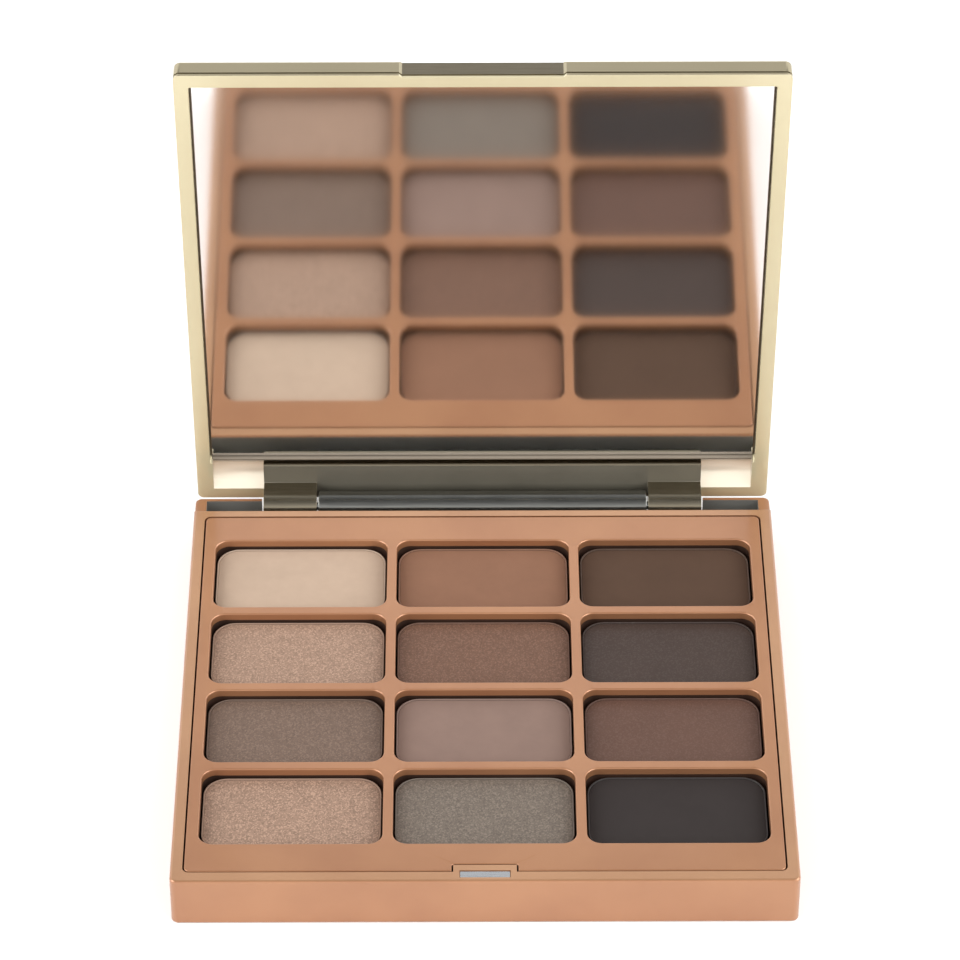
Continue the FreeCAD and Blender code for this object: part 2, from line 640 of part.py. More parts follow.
def turn_open(piece):
    """Puts a lid piece on the hinge axis and turns it open; its drawing stays shut."""
    piece.Placement.Rotation = FreeCAD.Rotation(VECTOR(1, 0, 0), -number("lid_opening"))
    piece.setExpression("Placement.Base.y", in_sheet(AXIS_Y))
    piece.setExpression("Placement.Base.z", in_sheet(AXIS_Z))


# Assembly.

base_pieces = [base_shell(), pan_tray(), pan_adhesive_pads(), base_magnet(), hinge_barrel()]
base_pieces += hinge_pins()
for well_name, well_x, well_y in well_centres():
    base_pieces.append(pan(well_name, well_x, well_y))
    base_pieces.append(powder(well_name, well_x, well_y))

lid_pieces = [lid_frame(), lid_shell(), mirror(), mirror_adhesive(), lid_strike_plate()]
for lid_piece in lid_pieces:
    turn_open(lid_piece)

doc.recompute()
for document_object in doc.Objects:
    if "Invalid" in document_object.State or "Error" in document_object.State:
        raise RuntimeError("failed object: " + document_object.Label)

os.makedirs("parts", exist_ok=True)
for piece in base_pieces + lid_pieces:
    if piece.Shape.isNull() or not piece.Shape.isValid():
        raise RuntimeError("bad shape: " + piece.Label)
    piece.Shape.exportStep(os.path.join("parts", piece.Label + ".step"))
    print(f"{piece.Label}: {len(piece.Shape.Solids)} solid(s), {piece.Shape.Volume:.1f} mm3")
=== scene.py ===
import json
import math

import bmesh
import bpy
from mathutils import Euler, Matrix, Vector


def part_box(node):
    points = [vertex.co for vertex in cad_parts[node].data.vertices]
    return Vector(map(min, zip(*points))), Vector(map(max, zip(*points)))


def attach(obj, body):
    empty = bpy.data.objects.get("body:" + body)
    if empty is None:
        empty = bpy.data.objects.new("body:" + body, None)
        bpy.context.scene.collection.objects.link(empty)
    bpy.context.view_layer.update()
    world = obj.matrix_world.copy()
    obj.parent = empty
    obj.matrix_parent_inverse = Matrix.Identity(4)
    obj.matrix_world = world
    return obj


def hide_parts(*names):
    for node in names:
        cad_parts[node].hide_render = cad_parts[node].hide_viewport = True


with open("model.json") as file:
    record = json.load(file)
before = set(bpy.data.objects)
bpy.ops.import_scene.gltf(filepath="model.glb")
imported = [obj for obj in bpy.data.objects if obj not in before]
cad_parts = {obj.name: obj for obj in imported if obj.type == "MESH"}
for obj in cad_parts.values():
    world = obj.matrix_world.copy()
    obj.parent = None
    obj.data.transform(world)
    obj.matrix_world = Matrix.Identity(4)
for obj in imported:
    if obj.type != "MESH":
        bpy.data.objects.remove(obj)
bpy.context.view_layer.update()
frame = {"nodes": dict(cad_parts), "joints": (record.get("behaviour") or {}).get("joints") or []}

# An open eyeshadow palette on a white table. Lengths are in metres, and MM turns millimetres into them.
MM = 0.001
ROWS = ("front", "lower_middle", "upper_middle", "back")
COLUMNS = ("left", "centre", "right")

# Numbers of the sockets of a mix node that is set to colours.
MIX_FIRST = 6
MIX_SECOND = 7
MIX_RESULT = 2


# Studio.

CAMERA_PLACE = (-3.2 * MM, -628.3 * MM, 574.7 * MM)
CAMERA_PITCH = math.radians(39.51)
CAMERA_YAW = math.radians(0.23)
CAMERA_LENS = 173.1
SENSOR_WIDTH = 36.0
CLIP_NEAR = 0.01
CLIP_FAR = 20.0
FLOOR_SIZE = 6.0
FLOOR_CELLS = 8

# Each sky is a list of stops: how far up its light comes from, 0 level and 1 overhead, and how bright it is.
FRONT_SKY = ((0.00, 1.00), (0.42, 1.00), (0.72, 0.48), (1.00, 0.12))
BACK_SKY = ((0.00, 0.75), (0.35, 0.80), (0.66, 0.74), (0.78, 0.28), (1.00, 0.12))
SKY_STRENGTH = 1.6

# One sky turns into the other where the Y part of a direction lies between these two.
BACK_EDGE = 0.25
FRONT_EDGE = -0.45

SOFTBOX_SIZE = 1.0
SOFTBOX_POWER = 15.0
SOFTBOX_PLACES = {
    "left_softbox": (-1.05, -0.30, 0.75),
    "right_softbox": (1.05, -0.30, 0.75),
}


def make_camera():
    data = bpy.data.cameras.new("studio_camera")
    data.sensor_width = SENSOR_WIDTH
    data.lens = CAMERA_LENS
    data.clip_start = CLIP_NEAR
    data.clip_end = CLIP_FAR
    camera = bpy.data.objects.new("studio_camera", data)
    camera.location = CAMERA_PLACE
    camera.rotation_euler = Euler((math.pi / 2 - CAMERA_PITCH, 0.0, -CAMERA_YAW), "XYZ")
    bpy.context.collection.objects.link(camera)
    bpy.context.scene.camera = camera


def make_lights():
    """Two softboxes that face the palette, one at each side."""
    for name, place in SOFTBOX_PLACES.items():
        data = bpy.data.lights.new(name, "AREA")
        data.shape = "SQUARE"
        data.size = SOFTBOX_SIZE
        data.energy = SOFTBOX_POWER
        light = bpy.data.objects.new(name, data)
        light.location = place
        light.rotation_euler = (-Vector(place)).to_track_quat("-Z", "Y").to_euler()
        bpy.context.collection.objects.link(light)


def make_world():
    """A studio that is bright in front of the palette, dimmer behind it and dark overhead."""
    world = bpy.data.worlds.new("studio_world")
    bpy.context.scene.world = world
    world.use_nodes = True
    tree = world.node_tree
    direction = tree.nodes.new("ShaderNodeTexCoord").outputs["Generated"]
    split = tree.nodes.new("ShaderNodeSeparateXYZ")
    tree.links.new(direction, split.inputs["Vector"])
    facing = tree.nodes.new("ShaderNodeMapRange")
    facing.inputs["From Min"].default_value = BACK_EDGE
    facing.inputs["From Max"].default_value = FRONT_EDGE
    tree.links.new(split.outputs["Y"], facing.inputs["Value"])
    blend = tree.nodes.new("ShaderNodeMix")
    blend.data_type = "RGBA"
    tree.links.new(facing.outputs["Result"], blend.inputs["Factor"])
    for stops, socket in ((BACK_SKY, blend.inputs[MIX_FIRST]), (FRONT_SKY, blend.inputs[MIX_SECOND])):
        ramp = tree.nodes.new("ShaderNodeValToRGB")
        set_stops(ramp, [(height, grey(level)) for height, level in stops])
        tree.links.new(split.outputs["Z"], ramp.inputs["Fac"])
        tree.links.new(ramp.outputs["Color"], socket)
    background = tree.nodes["Background"]
    background.inputs["Strength"].default_value = SKY_STRENGTH
    tree.links.new(blend.outputs[MIX_RESULT], background.inputs["Color"])
    bpy.context.scene.view_settings.view_transform = "Standard"


def make_floor():
    mesh = bpy.data.meshes.new("table_top")
    shape = bmesh.new()
    bmesh.ops.create_grid(shape, x_segments=FLOOR_CELLS, y_segments=FLOOR_CELLS, size=FLOOR_SIZE / 2)
    shape.to_mesh(mesh)
    shape.free()
    floor = bpy.data.objects.new("table_top", mesh)
    bpy.context.collection.objects.link(floor)
    mesh.materials.append(floor_material())


# Material building blocks.

def srgb(red, green, blue):
    """A linear colour from three sRGB numbers from 0 to 255."""
    linear = []
    for part in (red, green, blue):
        share = part / 255
        linear.append(share / 12.92 if share <= 0.04045 else ((share + 0.055) / 1.055) ** 2.4)
    return (*linear, 1.0)


def grey(level):
    return (level, level, level, 1.0)


def tinted(colour, gain):
    """A colour made lighter or darker."""
    return (*(min(1.0, part * gain) for part in colour[:3]), 1.0)


def set_stops(ramp, stops):
    """Gives a colour ramp its (place, colour) stops."""
    elements = ramp.color_ramp.elements
    while len(elements) < len(stops):
        elements.new(0.5)
    for element, (place, colour) in zip(elements, stops):
        element.position = place
        element.color = colour


class Shader:
    """A Principled material with short calls for its procedural nodes."""

    def __init__(self, name):
        self.material = bpy.data.materials.new(name)
        self.material.use_nodes = True
        self.tree = self.material.node_tree
        self.principled = self.tree.nodes["Principled BSDF"]
        self.coordinates = self.add("ShaderNodeTexCoord").outputs["Object"]

    def add(self, kind, **settings):
        node = self.tree.nodes.new(kind)
        for name, value in settings.items():
            setattr(node, name, value)
        return node

    def plug(self, source, target):
        self.tree.links.new(source, target)

    def fixed(self, **values):
        """Constant values on the shader's own sockets; underscores stand for spaces."""
        for name, value in values.items():
            self.principled.inputs[name.replace("_", " ")].default_value = value

    def noise(self, scale, detail=2.0, roughness=0.5, stretch=None):
        node = self.add("ShaderNodeTexNoise")
        node.inputs["Scale"].default_value = scale
        node.inputs["Detail"].default_value = detail
        node.inputs["Roughness"].default_value = roughness
        source = self.coordinates
        if stretch is not None:
            mapping = self.add("ShaderNodeMapping")
            mapping.inputs["Scale"].default_value = stretch
            self.plug(source, mapping.inputs["Vector"])
            source = mapping.outputs["Vector"]
        self.plug(source, node.inputs["Vector"])
        return node.outputs["Fac"]

    def cells(self, scale):
        """Random greys, one for each small cell."""
        node = self.add("ShaderNodeTexVoronoi")
        node.inputs["Scale"].default_value = scale
        self.plug(self.coordinates, node.inputs["Vector"])
        return node.outputs["Color"]

    def ramp(self, source, stops):
        """A colour ramp: stops are (place, colour)."""
        node = self.add("ShaderNodeValToRGB")
        set_stops(node, stops)
        self.plug(source, node.inputs["Fac"])
        return node.outputs["Color"]

    def spread(self, source, low, high):
        """Maps a value from 0 to 1 onto low to high."""
        node = self.add("ShaderNodeMapRange")
        node.inputs["To Min"].default_value = low
        node.inputs["To Max"].default_value = high
        self.plug(source, node.inputs["Value"])
        return node.outputs["Result"]

    def mix(self, factor, first, second):
        """Mixes two colours; each is a socket or a constant colour."""
        node = self.add("ShaderNodeMix", data_type="RGBA")
        self.plug(factor, node.inputs["Factor"])
        for index, value in ((MIX_FIRST, first), (MIX_SECOND, second)):
            if isinstance(value, tuple):
                node.inputs[index].default_value = value
            else:
                self.plug(value, node.inputs[index])
        return node.outputs[MIX_RESULT]

    def bump(self, height, strength, distance, below=None):
        node = self.add("ShaderNodeBump")
        node.inputs["Strength"].default_value = strength
        node.inputs["Distance"].default_value = distance
        self.plug(height, node.inputs["Height"])
        if below is not None:
            self.plug(below, node.inputs["Normal"])
        return node.outputs["Normal"]

    def colour(self, source):
        self.plug(source, self.principled.inputs["Base Color"])

    def roughness(self, source):
        self.plug(source, self.principled.inputs["Roughness"])

    def normal(self, source):
        self.plug(source, self.principled.inputs["Normal"])


# Materials.

COAT_ROUGHNESS = 0.16
FLECK_STOPS = [(0.60, grey(0.0)), (0.72, grey(1.0))]
FLECK_SHARE = 0.75
# How much lighter the painted glints of the mica flecks are.
PAINTED_GLINT_GAIN = 1.8
FLECK_LOSS = 0.5
MOTTLE_GAIN = 0.05
MICA_METAL = 0.15
DUST_GAIN = 0.90
FINE_PEEL_SHARE = 0.6


def floor_material():
    shader = Shader("white_table")
    tone = shader.noise(scale=9.0, detail=3.0)
    shader.colour(shader.ramp(tone, [(0.3, grey(0.93)), (0.7, grey(0.96))]))
    shader.fixed(Roughness=0.6, Specular_IOR_Level=0.2)
    shader.normal(shader.bump(shader.noise(scale=900.0), strength=0.05, distance=0.05 * MM))
    return shader.material


def metallised(name, light, dark, smooth, rough, grain, metal, coat=0.0):
    """Metal-coated plastic: slight tone drift, fine orange peel and faint handling haze."""
    shader = Shader(name)
    drift = shader.noise(scale=60.0, detail=4.0)
    shader.colour(shader.ramp(drift, [(0.35, dark), (0.65, light)]))
    haze = shader.noise(scale=140.0, detail=5.0, roughness=0.6)
    shader.roughness(shader.spread(haze, low=smooth, high=rough))
    shader.fixed(Metallic=metal, Coat_Weight=coat, Coat_Roughness=COAT_ROUGHNESS)
    coarse = shader.noise(scale=1500.0, detail=2.0)
    fine = shader.noise(scale=6000.0, detail=2.0)
    peel = shader.bump(coarse, strength=grain, distance=0.02 * MM)
    shader.normal(shader.bump(fine, strength=grain * FINE_PEEL_SHARE, distance=0.006 * MM, below=peel))
    return shader.material


def brushed(name, light, dark, smooth, rough, along):
    """Metal with fine lines; along gives the noise scale on each axis, low along the lines."""
    shader = Shader(name)
    lines = shader.noise(scale=1.0, detail=4.0, roughness=0.6, stretch=along)
    shader.colour(shader.ramp(lines, [(0.3, dark), (0.7, light)]))
    shader.roughness(shader.spread(lines, low=smooth, high=rough))
    shader.fixed(Metallic=1.0)
    shader.normal(shader.bump(lines, strength=0.08, distance=0.01 * MM))
    return shader.material


def mirror_material():
    """Silvered glass with faint smudges."""
    shader = Shader("silvered_mirror")
    smudge = shader.noise(scale=45.0, detail=4.0, roughness=0.55)
    shader.colour(shader.ramp(smudge, [(0.4, srgb(252, 252, 251)), (0.7, srgb(249, 250, 249))]))
    shader.roughness(shader.spread(smudge, low=0.065, high=0.080))
    shader.fixed(Metallic=1.0)
    return shader.material


def powder_material(name, colour, shimmer):
    """Pressed powder: soft mottling and a fine grain, with flecks of mica where it shimmers, lighter flecks
    painted in as glints beside darker flecks.
    """
    shader = Shader(name)
    base = srgb(*colour)
    mottle = shader.noise(scale=180.0, detail=5.0, roughness=0.62)
    darker = tinted(base, 1.0 - MOTTLE_GAIN)
    lighter = tinted(base, 1.0 + MOTTLE_GAIN)
    mottled = shader.ramp(mottle, [(0.3, darker), (0.7, lighter)])
    grain = shader.noise(scale=5200.0, detail=3.0, roughness=0.7)
    waves = shader.noise(scale=420.0, detail=3.0)
    pressed = shader.bump(waves, strength=0.08, distance=0.05 * MM)
    shader.normal(shader.bump(grain, strength=0.25, distance=0.03 * MM, below=pressed))
    if shimmer > 0.0:
        share = shimmer * FLECK_SHARE
        # Lighter cells are painted glints of mica; other cells get darker flecks.
        glint = shader.ramp(shader.cells(scale=4300.0), FLECK_STOPS)
        shade = shader.ramp(shader.cells(scale=3600.0), FLECK_STOPS)
        painted_glints = shader.mix(shader.spread(glint, low=0.0, high=share), mottled, tinted(base, PAINTED_GLINT_GAIN))
        glints_and_dark_flecks = shader.mix(shader.spread(shade, low=0.0, high=share), painted_glints, tinted(base, FLECK_LOSS))
        shader.colour(glints_and_dark_flecks)
        shader.roughness(shader.spread(glint, low=0.62, high=0.34))
        shader.fixed(Metallic=MICA_METAL * shimmer, Specular_IOR_Level=0.3)
    else:
        shader.colour(mottled)
        shader.roughness(shader.spread(grain, low=0.78, high=0.92))
        shader.fixed(Specular_IOR_Level=0.12)
    return shader.material


def adhesive_material():
    """Grey foam tape, with fine open cells."""
    shader = Shader("foam_adhesive")
    cells = shader.cells(scale=2200.0)
    shader.colour(shader.ramp(cells, [(0.2, srgb(150, 148, 143)), (0.8, srgb(196, 194, 188))]))
    shader.fixed(Roughness=0.85, Specular_IOR_Level=0.2)
    shader.normal(shader.bump(cells, strength=0.3, distance=0.05 * MM))
    return shader.material


def pan_material(name, colour):
    """Thin tin under a film of its own powder, a little thinner in places."""
    shader = Shader(name)
    cover = shader.noise(scale=700.0, detail=4.0, roughness=0.65)
    dust = shader.ramp(cover, [(0.15, grey(0.88)), (0.45, grey(1.0))])
    powder = tinted(srgb(*colour), DUST_GAIN)
    shader.colour(shader.mix(dust, srgb(176, 172, 165), powder))
    shader.roughness(shader.spread(dust, low=0.30, high=0.85))
    shader.plug(shader.spread(dust, low=1.0, high=0.0), shader.principled.inputs["Metallic"])
    shader.normal(shader.bump(shader.noise(scale=4000.0, detail=2.0), strength=0.2, distance=0.01 * MM))
    return shader.material


# Shades, left to right in each row: name, colour, share of shimmer.

SHADES = {
    "back": (
        ("cream", (167, 146, 128), 0.0),
        ("warm_brown", (121, 88, 70), 0.0),
        ("olive_brown", (75, 57, 46), 0.0)),
    "upper_middle": (
        ("pink_beige", (143, 117, 100), 0.55),
        ("shimmer_brown", (100, 73, 59), 0.40),
        ("plum_brown", (58, 46, 41), 0.10)),
    "lower_middle": (
        ("taupe", (103, 85, 74), 0.40),
        ("mauve", (123, 102, 93), 0.0),
        ("reddish_brown", (86, 62, 52), 0.15)),
    "front": (
        ("bronze", (143, 117, 100), 0.65),
        ("grey_green", (104, 94, 85), 0.55),
        ("charcoal", (49, 44, 43), 0.0)),
}


# Mesh building blocks. An outline is a list of right-angled corners (x, y, radius), anticlockwise.

CORNER_STEPS = 10
EDGE_STEPS = 5
WELD_DISTANCE = 0.004 * MM
FLAT_ANGLE = math.radians(0.4)
SHARP_ANGLE = math.radians(40)
SMOOTH_ANGLE = math.radians(35)
FACET_ANGLE = math.radians(5)
FACET_AREA = 12 * MM * MM
STRONG_FACE = 16384


def rectangle(low, high, radius):
    """The outline of a rounded rectangle between two corners."""
    corners = ((low.x, low.y), (high.x, low.y), (high.x, high.y), (low.x, high.y))
    return [(x, y, radius) for x, y in corners]


def ring(outline, inset, z):
    """Points around an outline that is moved inwards by inset."""
    points = []
    for index, (x, y, radius) in enumerate(outline):
        here = Vector((x, y))
        before = Vector(outline[index - 1][:2])
        after = Vector(outline[(index + 1) % len(outline)][:2])
        arrive = (here - before).normalized()
        leave = (after - here).normalized()
        first = Vector((-arrive.y, arrive.x))
        last = Vector((-leave.y, leave.x))
        side = 1.0 if arrive.cross(leave) > 0.0 else -1.0
        centre = here + side * radius * (first + last)
        reach = side * radius - inset
        for step in range(CORNER_STEPS + 1):
            angle = math.pi / 2 * step / CORNER_STEPS
            place = centre - reach * (math.cos(angle) * first + math.sin(angle) * last)
            points.append((place.x, place.y, z))
    return points


def rounded(radius, z, rising, inset=0.0):
    """Profile points (inset, z) of a rounded upper edge, from wall to top, or from top to wall."""
    points = []
    for step in range(EDGE_STEPS + 1):
        angle = math.pi / 2 * step / EDGE_STEPS
        points.append((inset + radius * (1 - math.cos(angle)), z - radius * (1 - math.sin(angle))))
    return points if rising else [(2 * inset - place, height) for place, height in reversed(points)]


def loft(shape, outline, profile, start_cap=False, end_cap=False):
    """Faces between rings that follow one outline through the profile's (inset, z) points."""
    rows = [[shape.verts.new(point) for point in ring(outline, inset, z)] for inset, z in profile]
    for lower, upper in zip(rows, rows[1:]):
        for index in range(len(lower)):
            after = (index + 1) % len(lower)
            shape.faces.new((lower[index], lower[after], upper[after], upper[index]))
    if start_cap:
        shape.faces.new(list(reversed(rows[0])))
    if end_cap:
        shape.faces.new(rows[-1])
    return rows


def fill_between(shape, rows):
    """A flat face between one outer ring and the rings inside it."""
    edges = []
    for row in rows:
        for index in range(len(row)):
            edges.append(shape.edges.get((row[index], row[index - 1])))
    bmesh.ops.triangle_fill(shape, use_beauty=True, use_dissolve=False, edges=edges, normal=(0, 0, 1))


def cad_shape(node):
    """A welded copy of a CAD node's mesh, with flat faces merged."""
    shape = bmesh.new()
    shape.from_mesh(frame["nodes"][node].data)
    bmesh.ops.remove_doubles(shape, verts=shape.verts, dist=WELD_DISTANCE)
    bmesh.ops.dissolve_limit(shape, angle_limit=FLAT_ANGLE, verts=shape.verts, edges=shape.edges)
    return shape


def round_edges(shape, width, wanted=None, segments=3):
    """Rounds the sharp edges of a shape, or those of them that a test picks."""
    edges = []
    for edge in shape.edges:
        sharp = len(edge.link_faces) == 2 and edge.calc_face_angle(0.0) > SHARP_ANGLE
        if sharp and (wanted is None or wanted(edge)):
            edges.append(edge)
    bmesh.ops.bevel(
        shape, geom=edges, offset=width, offset_type="OFFSET", segments=segments,
        profile=0.5, affect="EDGES", clamp_overlap=True, loop_slide=True)


def is_crease(edge):
    """True between faces that meet at an angle, and between two broad flat faces at any angle."""
    if len(edge.link_faces) != 2:
        return True
    angle = edge.calc_face_angle(0.0)
    broad = min(face.calc_area() for face in edge.link_faces) > FACET_AREA
    return angle > SMOOTH_ANGLE or (broad and angle > FACET_ANGLE)


def weigh_flats(shape):
    """Lets broad flat surfaces decide the shading normals along their borders."""
    weight = shape.faces.layers.int.new("__mod_weightednormals_faceweight")
    surfaces = {}
    for face in shape.faces:
        plane = tuple(round(part, 2) for part in face.normal)
        plane += (round(face.normal.dot(face.verts[0].co) / MM, 1),)
        surfaces.setdefault(plane, []).append(face)
    for faces in surfaces.values():
        broad = sum(face.calc_area() for face in faces) > FACET_AREA
        for face in faces:
            face[weight] = STRONG_FACE if broad else 0


def finish_shape(shape, name, body, node, materials, choose=None):
    """Makes a piece that stands for a CAD node; choose picks the material of each face by its number."""
    mesh = bpy.data.meshes.new(name)
    bmesh.ops.recalc_face_normals(shape, faces=shape.faces)
    for face in shape.faces:
        face.smooth = True
        face.material_index = choose(face.calc_center_median(), face.normal) if choose else 0
    for edge in shape.edges:
        edge.smooth = not is_crease(edge)
    weigh_flats(shape)
    shape.to_mesh(mesh)
    shape.free()
    for material in materials:
        mesh.materials.append(material)
    piece = bpy.data.objects.new(name, mesh)
    bpy.context.collection.objects.link(piece)
    weighted = piece.modifiers.new("even_shading", "WEIGHTED_NORMAL")
    weighted.keep_sharp = True
    weighted.use_face_influence = True
    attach(piece, body)
    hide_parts(node)


def corners_of(node):
    low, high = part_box(node)
    return Vector(low), Vector(high)


# Base pieces.

PAN_RADIUS = 4.2 * MM
PAN_WALL = 0.3 * MM
PAN_EDGE = 0.1 * MM
PAN_FOOT = ((0.35 * MM, 0.0), (0.10 * MM, 0.10 * MM), (0.0, 0.35 * MM))
WELL_RADIUS = 2.6 * MM
WELL_MARGIN = 0.3 * MM
WELL_DEPTH = 5.2 * MM
WELL_EDGE = 0.28 * MM
# Depth below the tray top where the well walls turn to painted shade.
WELL_PAINTED_SHADE_DEPTH = 1.5 * MM
WELL_FOOT = ((0.0, 0.4 * MM), (0.12 * MM, 0.12 * MM), (0.4 * MM, 0.0))
WELL_SLACK = 0.1 * MM
TRAY_BORDER = 1.0 * MM
NOTCH_CORNER = 0.4 * MM
TRAY_CORNER = 1.2 * MM
TRAY_EDGE = 0.20 * MM
TRAY_GAP = 0.16 * MM
BOSS_HALF = 5.67 * MM
BOSS_DEPTH = 1.70 * MM
CAKE_EDGE = 0.12 * MM
CAKE_DROP = 0.04 * MM
CAKE_DISH = ((0.7 * MM, 0.02 * MM), (2.0 * MM, 0.0), (3.2 * MM, 0.0))
RIM_EDGE = 0.50 * MM
WALL_EDGE = 0.30 * MM
SMALL_EDGE = 0.12 * MM
RIM_DEPTH = 1.0 * MM
REAR_DEPTH = 3.0 * MM
OUTER_X = 53.7 * MM
OUTER_Y = 52.6 * MM
TROUGH_HALF = 52.9 * MM
TROUGH_FRONT = 47.45 * MM
TROUGH_BACK = 51.95 * MM
TROUGH_FLOOR = 1.0 * MM
TROUGH_EDGE = 0.13 * MM

# How squarely a face looks along an axis: the part of its normal on that axis.
PARTLY = 0.5
MOSTLY = 0.9
SQUARELY = 0.97


def make_cake(well, material):
    """Pressed powder with a softened upper edge and a slight dish around the rim."""
    low, high = corners_of("powder_" + well)
    shape = bmesh.new()
    outline = rectangle(low, high, PAN_RADIUS - PAN_WALL)
    profile = [(0.0, low.z)] + rounded(CAKE_EDGE, high.z - CAKE_DROP, rising=True)
    profile += [(inset, high.z - drop) for inset, drop in CAKE_DISH]
    loft(shape, outline, profile, start_cap=True, end_cap=True)
    finish_shape(shape, "cake_" + well, "base", "powder_" + well, [material])


def make_pan(well, material):
    """A drawn pan with a rounded foot and rim."""
    low, high = corners_of("pan_" + well)
    shape = bmesh.new()
    outline = rectangle(low, high, PAN_RADIUS)
    profile = [(inset, low.z + height) for inset, height in PAN_FOOT]
    profile += rounded(PAN_EDGE, high.z, rising=True)
    profile += rounded(PAN_EDGE, high.z, rising=False, inset=PAN_WALL)
    profile += [(PAN_WALL, low.z + PAN_WALL)]
    loft(shape, outline, profile, start_cap=True, end_cap=True)
    finish_shape(shape, "tin_" + well, "base", "pan_" + well, [material])


def make_tray(material, shade):
    """The tray: rounded outer edge, magnet notch, and twelve wells with soft edges, their lower walls and
    floors in a darker painted shade.
    """
    low, high = corners_of("pan_tray")
    shape = bmesh.new()
    notch = low.y + BOSS_DEPTH
    outline = [
        (low.x, low.y, TRAY_CORNER),
        (-BOSS_HALF, low.y, NOTCH_CORNER),
        (-BOSS_HALF, notch, NOTCH_CORNER),
        (BOSS_HALF, notch, NOTCH_CORNER),
        (BOSS_HALF, low.y, NOTCH_CORNER),
        (high.x, low.y, TRAY_CORNER),
        (high.x, high.y, TRAY_CORNER),
        (low.x, high.y, TRAY_CORNER),
    ]
    profile = [(TRAY_GAP, low.z)] + rounded(TRAY_EDGE, high.z, rising=True, inset=TRAY_GAP)
    rows = [loft(shape, outline, profile, start_cap=True)[-1]]
    floor = high.z - WELL_DEPTH
    for row in ROWS:
        for column in COLUMNS:
            pan_low, pan_high = corners_of(f"pan_{row}_{column}")
            margin = Vector((WELL_MARGIN, WELL_MARGIN, 0.0))
            well = rectangle(pan_low - margin, pan_high + margin, WELL_RADIUS)
            wall = rounded(WELL_EDGE, high.z, rising=False)
            # A ring at that depth, where the painted shade on the well wall begins.
            wall += [(0.0, high.z - WELL_PAINTED_SHADE_DEPTH)]
            wall += [(inset, floor + height) for inset, height in WELL_FOOT]
            rows.append(loft(shape, well, wall, end_cap=True)[0])
    fill_between(shape, rows)

    # Faces low in a well take the second material, a darker painted shade.
    def in_painted_well_shade(centre, normal):
        across = abs(centre.x) < high.x - TRAY_BORDER
        along = low.y + TRAY_BORDER < centre.y < high.y - TRAY_BORDER
        deep = floor - WELL_SLACK < centre.z < high.z - WELL_PAINTED_SHADE_DEPTH
        return int(across and along and deep)

    finish_shape(shape, "tray", "base", "pan_tray", [material, shade], in_painted_well_shade)


def make_plate(node, name, body, material, radius, edge):
    """A flat upright-edged plate with rounded upper and lower edges."""
    low, high = corners_of(node)
    shape = bmesh.new()
    outline = rectangle(low, high, radius)
    lower = [(inset, low.z + high.z - z) for inset, z in reversed(rounded(edge, high.z, rising=True))]
    loft(shape, outline, lower + rounded(edge, high.z, rising=True), start_cap=True, end_cap=True)
    finish_shape(shape, name, body, node, [material])


def make_refined(node, name, body, materials, width, choose=None):
    """A CAD node's own shape with rounded edges."""
    shape = cad_shape(node)
    round_edges(shape, width)
    finish_shape(shape, name, body, node, materials, choose)


def make_case(materials):
    """The base shell: wall, hinge trough and top rim, with a softly rounded outer edge."""
    high = corners_of("base_shell")[1]

    def on_rim(edge):
        return all(vert.co.z > high.z - RIM_DEPTH and is_outside(vert.co) for vert in edge.verts)

    def on_rear_wall(edge):
        heights = [vert.co.z for vert in edge.verts]
        level = high.z - REAR_DEPTH < min(heights) and max(heights) < high.z - RIM_DEPTH
        return level and all(is_outside(vert.co) for vert in edge.verts)

    def case_part(centre, normal):
        inside = abs(centre.x) < TROUGH_HALF and TROUGH_FRONT < centre.y < TROUGH_BACK
        on_back_wall = abs(centre.x) < TROUGH_HALF and centre.y > TROUGH_BACK and normal.y < -PARTLY
        deep = TROUGH_FLOOR < centre.z < high.z - TROUGH_EDGE and normal.z > -PARTLY
        # Faces inside the hinge trough and on its back wall take a grey painted shade.
        if deep and (inside or on_back_wall):
            return 1
        # Up-facing faces at the top of the shell take a lighter copy of the rose gold, painted light.
        return 2 if normal.z > MOSTLY and centre.z > high.z - TROUGH_EDGE else 0

    shape = cad_shape("base_shell")
    round_edges(shape, RIM_EDGE, on_rim, segments=6)
    round_edges(shape, WALL_EDGE, on_rear_wall)
    round_edges(shape, SMALL_EDGE)
    finish_shape(shape, "base_case", "base", "base_shell", materials, case_part)


def is_outside(point):
    """True for a point on the outer wall of the base."""
    return abs(point.x) > OUTER_X or abs(point.y) > OUTER_Y


# Lid pieces. Some are drawn as if the lid were shut, and then turned open on the hinge axis.

LID_JOINT = frame["joints"][0]
LID_OPEN = (Matrix.Translation(Vector(LID_JOINT["pos_m"]))
            @ Matrix.Rotation(-math.radians(LID_JOINT["range_deg"][1]), 4, "X"))
MIRROR_CORNER = 0.30 * MM
MIRROR_EDGE = 0.08 * MM
# Width of the painted shade band along the mirror's left and right edges.
MIRROR_SHADE_BAND = 0.28 * MM
PAD_HALF = 42.0 * MM
GROOVE_FRONT = -7.9 * MM
GROOVE_BACK = -6.5 * MM
KNUCKLE_FRONT = -3.4 * MM
PAD_LEVEL = 3.2 * MM
FACE_LEVEL = 3.5 * MM
HOLLOW_HALF = 52.2 * MM
RECESS_FRONT = -9.0 * MM
NOTCH_HALF = 14.5 * MM
NOTCH_WALL = -105.7 * MM
RIM_OUTSIDE = 54.45 * MM
RIM_FRONT = -105.55 * MM
RIM_BACK = 0.8 * MM


def shut_corners(node):
    """The box of a lid node when the lid is turned shut, in the frame whose origin is the hinge axis."""
    points = [LID_OPEN.inverted() @ vert.co for vert in frame["nodes"][node].data.vertices]
    low = Vector([min(point[axis] for point in points) for axis in range(3)])
    high = Vector([max(point[axis] for point in points) for axis in range(3)])
    return low, high


